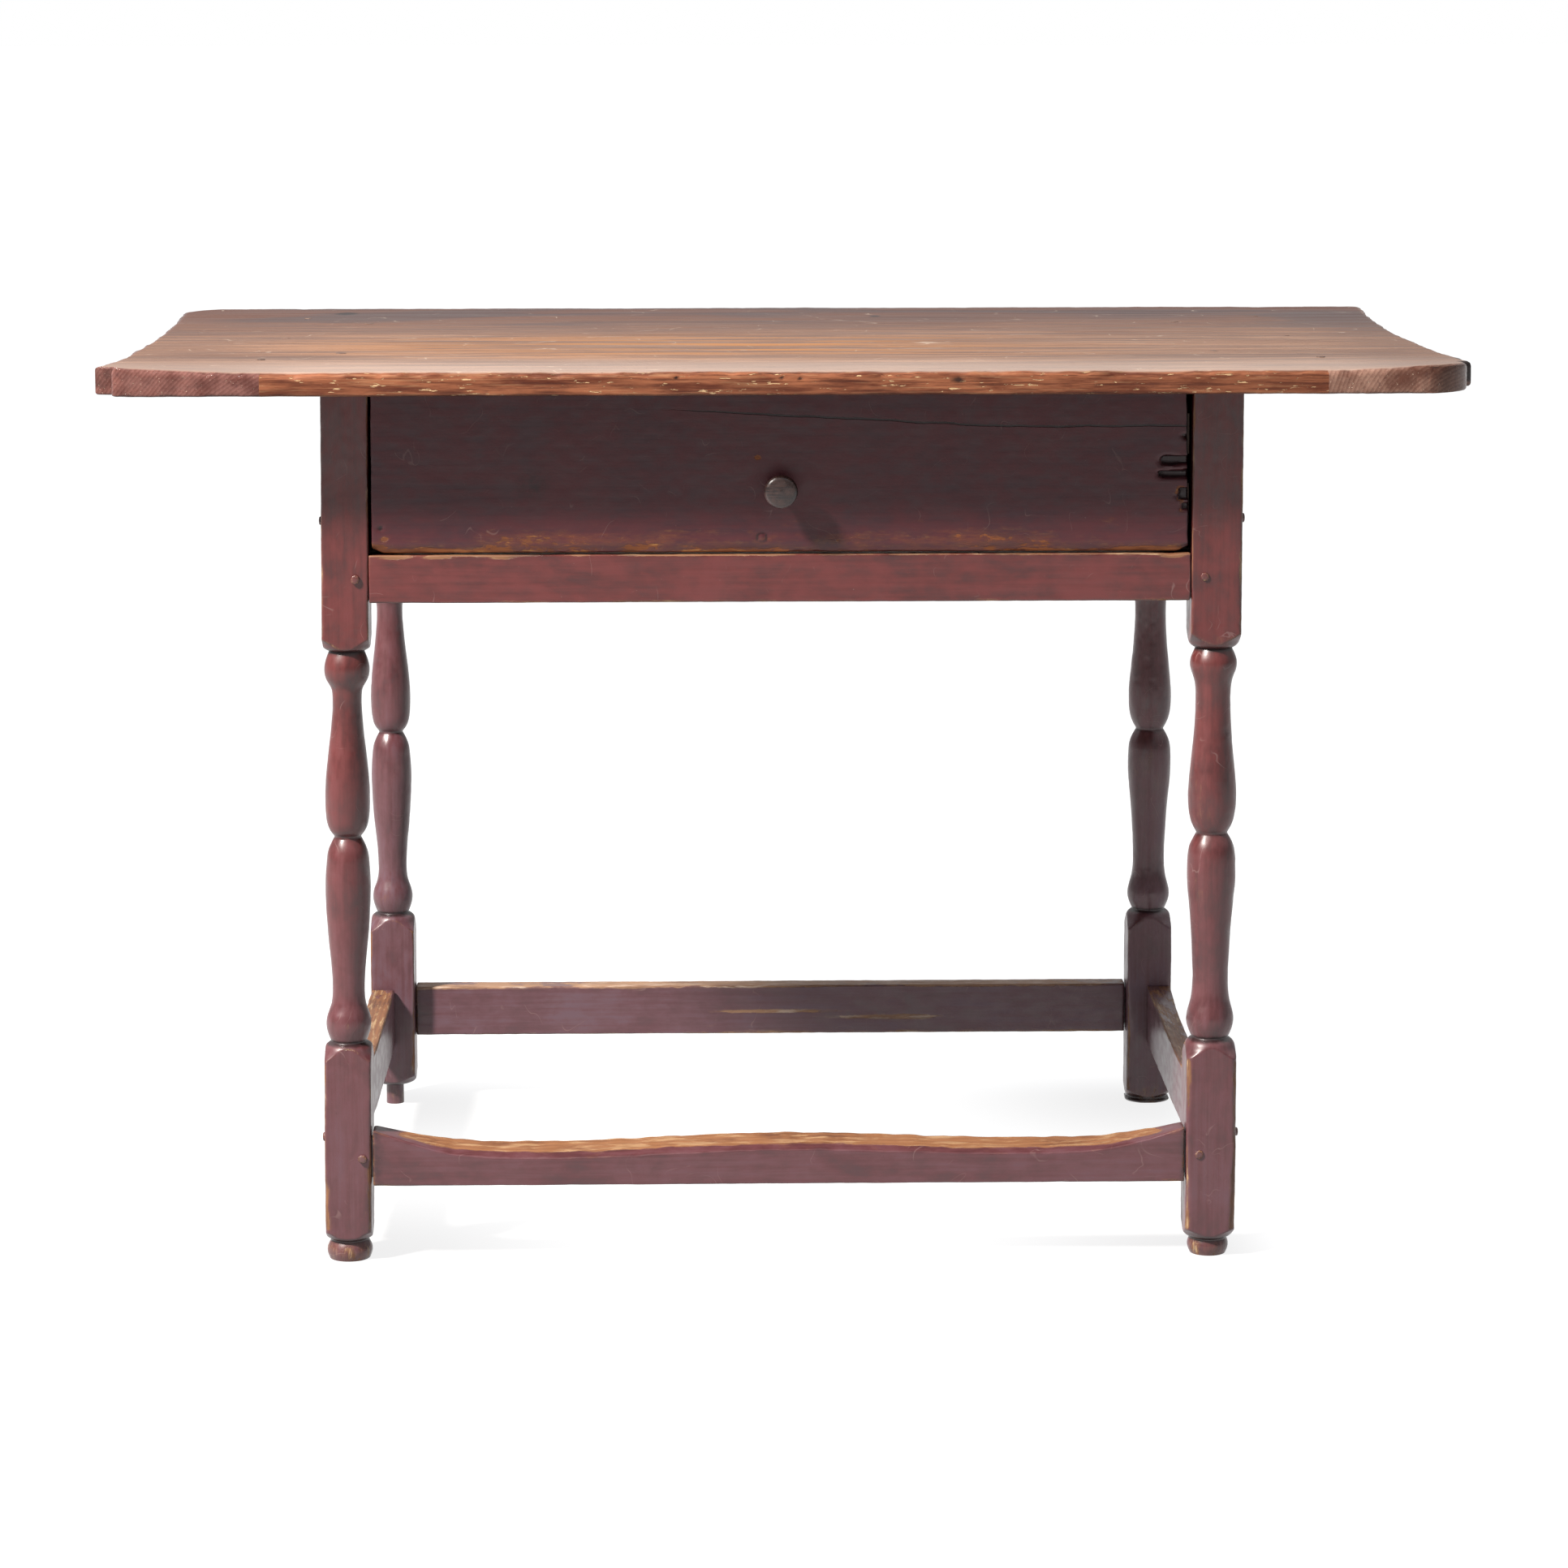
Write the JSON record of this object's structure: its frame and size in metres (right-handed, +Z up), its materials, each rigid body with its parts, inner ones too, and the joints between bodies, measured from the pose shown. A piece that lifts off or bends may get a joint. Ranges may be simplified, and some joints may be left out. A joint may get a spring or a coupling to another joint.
{
  "type": "tavern table",
  "caption": "Low wooden table with a breadboard-ended pine top, turned legs joined by box stretchers, and a drawer with a small wooden knob.",
  "frame": {"origin": "on the floor under the middle of the top", "axes": "+X along the top to the right as seen from the drawer side, -Y towards the drawer front, +Z up"},
  "size_m": [1.014, 0.648, 0.685],
  "materials": {
    "red_paint": "old brick-red paint over maple, worn through to the wood on the arrises",
    "worn_red_paint": "old brick-red paint, foot wear down to bare ochre wood along the top",
    "dark_red_paint": "darker old red-brown paint on pine, ochre where rubbed",
    "painted_peg": "hand-cut wooden peg under old red paint",
    "top_pine": "old scrubbed pine with a brown patina, ochre streaks and dark stains",
    "end_pine": "old pine with a brown patina, end grain dark red-brown",
    "pin_wood": "wooden pin cut flush with the top, end grain",
    "bare_pine": "unpainted pine, aged and dusty",
    "knob_wood": "turned knob, grey-brown and handled",
    "iron": "forged iron nail, dull and dark"
  },
  "bodies": {
    "frame": {"back_apron": "red_paint", "back_apron_pegs": "painted_peg", "back_left_leg": "red_paint", "back_right_leg": "red_paint", "back_stretcher": "red_paint", "back_stretcher_pegs": "painted_peg", "drawer_rail": "red_paint", "drawer_rail_pegs": "painted_peg", "front_left_leg": "red_paint", "front_right_leg": "red_paint", "front_stretcher": "worn_red_paint", "front_stretcher_pegs": "painted_peg", "left_apron": "red_paint", "left_apron_pegs": "painted_peg", "left_drawer_guide": "bare_pine", "left_drawer_runner": "bare_pine", "left_end_board": "end_pine", "left_end_board_pegs": "pin_wood", "left_guide_nails": "iron", "left_runner_nails": "iron", "left_stretcher": "red_paint", "left_stretcher_pegs": "painted_peg", "right_apron": "red_paint", "right_apron_pegs": "painted_peg", "right_drawer_guide": "bare_pine", "right_drawer_runner": "bare_pine", "right_end_board": "end_pine", "right_end_board_pegs": "pin_wood", "right_guide_nails": "iron", "right_runner_nails": "iron", "right_stretcher": "red_paint", "right_stretcher_pegs": "painted_peg", "top_board": "top_pine", "top_pins": "pin_wood"},
    "drawer": {"drawer_front": "dark_red_paint", "drawer_left_side": "bare_pine", "drawer_right_side": "bare_pine", "drawer_back": "bare_pine", "drawer_bottom": "bare_pine", "drawer_knob": "knob_wood", "drawer_nails": "iron"}
  },
  "joints": [
    {"name": "drawer_slide", "type": "slide", "parent": "frame", "child": "drawer", "axis": [0, -1, 0], "range_m": [0, 0.3]}
  ]
}
